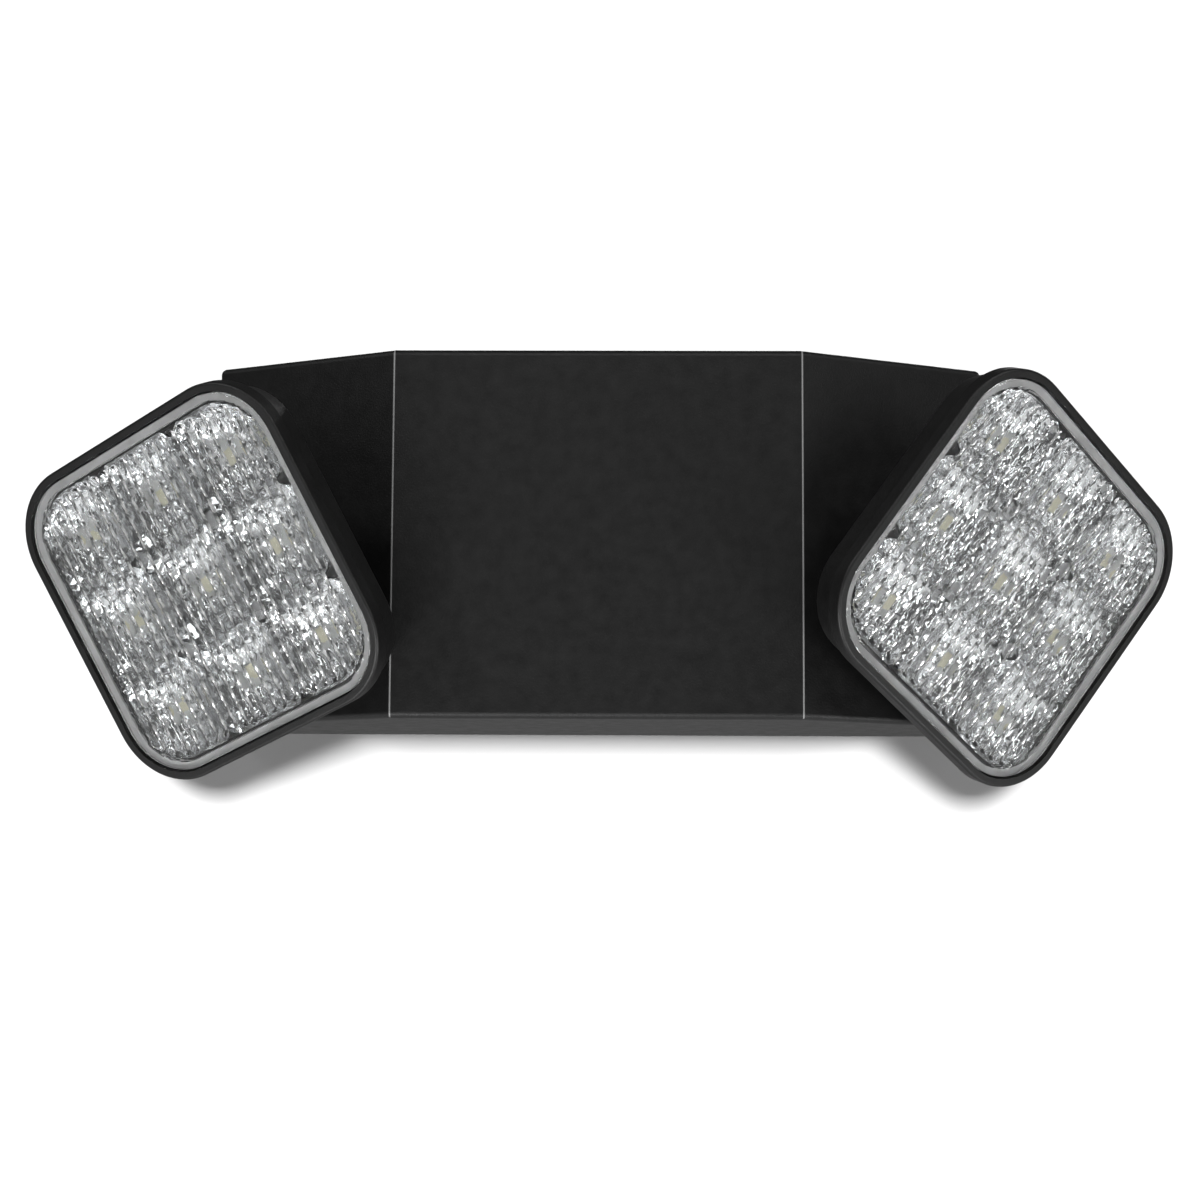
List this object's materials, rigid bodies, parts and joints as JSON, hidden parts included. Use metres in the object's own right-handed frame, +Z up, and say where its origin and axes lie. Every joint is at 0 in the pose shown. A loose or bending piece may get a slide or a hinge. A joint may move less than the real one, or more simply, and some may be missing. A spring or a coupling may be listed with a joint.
{
  "type": "twin-head emergency light",
  "caption": "Wall-mounted emergency light: a case with sloping side facets and square lamp heads with fluted lenses that pan, tilt and spin, and a sprung test button.",
  "frame": {"origin": "middle of the back plate's rear face, where it lies on the wall, midway between its two junction box slots", "axes": "+X along the wall to the right as seen from the room, +Y into the wall, +Z up"},
  "size_m": [0.2777, 0.0934, 0.1055],
  "materials": {
    "black_plastic": "fine moulded grain",
    "clear_lens": "clear fluted plastic",
    "bright_reflector": "metallised, mirror bright",
    "white_board": "white solder mask",
    "green_board": "green solder mask",
    "led_phosphor": "yellow phosphor",
    "bare_aluminium": "as rolled",
    "steel": "zinc plated",
    "core_iron": "varnished laminations",
    "coil_tape": "yellow tape",
    "relay_case": "moulded",
    "capacitor_sleeve": "shrink sleeve",
    "terminal_plastic": "moulded",
    "fuse_glass": "glass and plated caps",
    "white_nylon": "natural nylon",
    "pale_silicone": "translucent soft cord",
    "lead_jacket": "extruded jacket",
    "cell_can": "plated can",
    "shrink_sleeve": "shrink film",
    "pilot_lens": "tinted light pipe"
  },
  "bodies": {
    "case": {"front_housing": "black_plastic", "back_plate": "black_plastic", "plate_screws": "steel", "charger_board": "green_board", "board_screws": "steel", "transformer_core": "core_iron", "transformer_coil": "coil_tape", "relay": "relay_case", "capacitors": "capacitor_sleeve", "terminal_block": "terminal_plastic", "regulator_heatsink": "bare_aluminium", "fuse": "fuse_glass", "lead_sockets": "white_nylon", "battery_cells": "cell_can", "battery_sleeve": "shrink_sleeve", "battery_cradle": "black_plastic", "battery_lead": "lead_jacket", "test_switch": "relay_case", "switch_board": "green_board", "pilot_led": "led_phosphor", "pilot_lens": "pilot_lens", "left_lamp_lead": "lead_jacket", "right_lamp_lead": "lead_jacket"},
    "button": {"test_button": "black_plastic"},
    "left_swivel": {"left_turret": "black_plastic", "left_friction_washer": "white_nylon", "left_turret_nut": "black_plastic", "left_tilt_pins": "steel"},
    "left_arm": {"left_knuckle": "black_plastic", "left_spin_nut": "black_plastic", "left_knuckle_lead": "lead_jacket"},
    "left_lamp": {"left_head_shell": "black_plastic", "left_lens": "clear_lens", "left_lens_gasket": "pale_silicone", "left_reflector": "bright_reflector", "left_led_board": "white_board", "left_led_emitters": "led_phosphor", "left_heat_spreader": "bare_aluminium", "left_lamp_screws": "steel"},
    "right_swivel": {"right_turret": "black_plastic", "right_friction_washer": "white_nylon", "right_turret_nut": "black_plastic", "right_tilt_pins": "steel"},
    "right_arm": {"right_knuckle": "black_plastic", "right_spin_nut": "black_plastic", "right_knuckle_lead": "lead_jacket"},
    "right_lamp": {"right_head_shell": "black_plastic", "right_lens": "clear_lens", "right_lens_gasket": "pale_silicone", "right_reflector": "bright_reflector", "right_led_board": "white_board", "right_led_emitters": "led_phosphor", "right_heat_spreader": "bare_aluminium", "right_lamp_screws": "steel"}
  },
  "joints": [
    {"name": "button_press", "type": "slide", "parent": "case", "child": "button", "axis": [-1, 0, 0], "range_m": [0, 0.001], "stiffness_N_per_m": 800, "springref_m": -0.001},
    {"name": "left_pan", "type": "hinge", "parent": "case", "child": "left_swivel", "pos_m": [-0.08, -0.04083, -0.0035], "axis": [-0.5, -0.866, 0], "range_deg": [-175, 145]},
    {"name": "left_tilt", "type": "hinge", "parent": "left_swivel", "child": "left_arm", "pos_m": [-0.08, -0.04083, -0.0035], "axis": [0.8365, -0.483, 0.2588], "range_deg": [-41.5, 2.5]},
    {"name": "left_spin", "type": "hinge", "parent": "left_arm", "child": "left_lamp", "pos_m": [-0.08, -0.04083, -0.0035], "axis": [-0.3965, -0.8595, -0.3224], "range_deg": [-95.5, 84.5]},
    {"name": "right_pan", "type": "hinge", "parent": "case", "child": "right_swivel", "pos_m": [0.08, -0.04083, -0.0035], "axis": [0.5, -0.866, 0], "range_deg": [-165, 155]},
    {"name": "right_tilt", "type": "hinge", "parent": "right_swivel", "child": "right_arm", "pos_m": [0.08, -0.04083, -0.0035], "axis": [0.8627, 0.4981, 0.0872], "range_deg": [-37.5, 6.5]},
    {"name": "right_spin", "type": "hinge", "parent": "right_arm", "child": "right_lamp", "pos_m": [0.08, -0.04083, -0.0035], "axis": [0.502, -0.8229, -0.2662], "range_deg": [-51.5, 128.5]}
  ]
}
